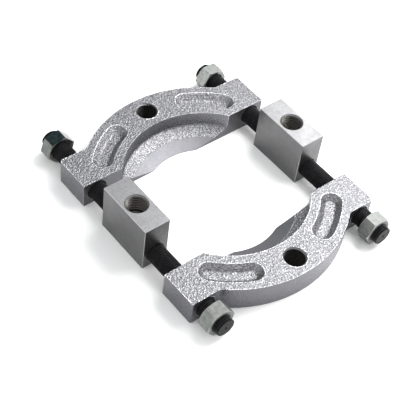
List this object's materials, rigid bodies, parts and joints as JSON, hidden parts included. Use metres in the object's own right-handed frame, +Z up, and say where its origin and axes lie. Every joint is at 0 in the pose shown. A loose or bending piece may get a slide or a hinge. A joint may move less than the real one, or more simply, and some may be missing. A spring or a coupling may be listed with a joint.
{
  "type": "bearing separator",
  "caption": "Bearing separator: half-ring knife-edge jaws drawn together along long threaded studs by hex nuts, with tapped leg blocks that slide between the lugs.",
  "frame": {"origin": "on the surface that the tool lies on, under the middle of its outline", "axes": "+X across the studs to the right, +Y along the studs towards the rear jaw, +Z up"},
  "size_m": [0.4147, 0.5214, 0.096],
  "materials": {
    "plated_casting": "silver-plated steel casting, rough and sparkling as cast",
    "machined_steel": "plated over machined faces, satin",
    "black_oxide": "black oxide with a trace of oil, fine coarse-pitch thread",
    "zinc_plate": "bright zinc plate, slightly green"
  },
  "bodies": {
    "studs": {"left_stud": "black_oxide", "right_stud": "black_oxide"},
    "rear_jaw": {"rear_jaw": "plated_casting"},
    "front_jaw": {"front_jaw": "plated_casting"},
    "left_leg_block": {"left_leg_block": "machined_steel"},
    "right_leg_block": {"right_leg_block": "machined_steel"},
    "rear_left_nut": {"rear_left_nut": "zinc_plate"},
    "rear_right_nut": {"rear_right_nut": "zinc_plate"},
    "front_left_nut": {"front_left_nut": "zinc_plate"},
    "front_right_nut": {"front_right_nut": "zinc_plate"}
  },
  "joints": [
    {"name": "rear_jaw_slide", "type": "slide", "parent": "studs", "child": "rear_jaw", "axis": [0, -1, 0], "range_m": [-0.008, 0.04]},
    {"name": "rear_left_nut_turn", "type": "hinge", "parent": "rear_jaw", "child": "rear_left_nut", "pos_m": [-0.178, 0.23565, 0.0282], "axis": [0, -1, 0], "range_deg": [-720, 3600]},
    {"name": "rear_right_nut_turn", "type": "hinge", "parent": "rear_jaw", "child": "rear_right_nut", "pos_m": [0.178, 0.22835, 0.0282], "axis": [0, -1, 0], "range_deg": [-720, 3600]},
    {"name": "front_jaw_slide", "type": "slide", "parent": "studs", "child": "front_jaw", "axis": [0, 1, 0], "range_m": [-0.008, 0.052]},
    {"name": "front_left_nut_turn", "type": "hinge", "parent": "front_jaw", "child": "front_left_nut", "pos_m": [-0.178, -0.22835, 0.0282], "axis": [0, 1, 0], "range_deg": [-720, 4680]},
    {"name": "front_right_nut_turn", "type": "hinge", "parent": "front_jaw", "child": "front_right_nut", "pos_m": [0.178, -0.23565, 0.0282], "axis": [0, 1, 0], "range_deg": [-720, 4680]},
    {"name": "left_block_slide", "type": "slide", "parent": "studs", "child": "left_leg_block", "axis": [0, 1, 0], "range_m": [-0.008, 0.008]},
    {"name": "right_block_slide", "type": "slide", "parent": "studs", "child": "right_leg_block", "axis": [0, 1, 0], "range_m": [-0.008, 0.008]}
  ],
  "couplings": [
    {"joint": "rear_left_nut_turn", "follows": "rear_jaw_slide", "rad_per_m": 1570.8},
    {"joint": "rear_right_nut_turn", "follows": "rear_jaw_slide", "rad_per_m": 1570.8},
    {"joint": "front_left_nut_turn", "follows": "front_jaw_slide", "rad_per_m": 1570.8},
    {"joint": "front_right_nut_turn", "follows": "front_jaw_slide", "rad_per_m": 1570.8}
  ]
}
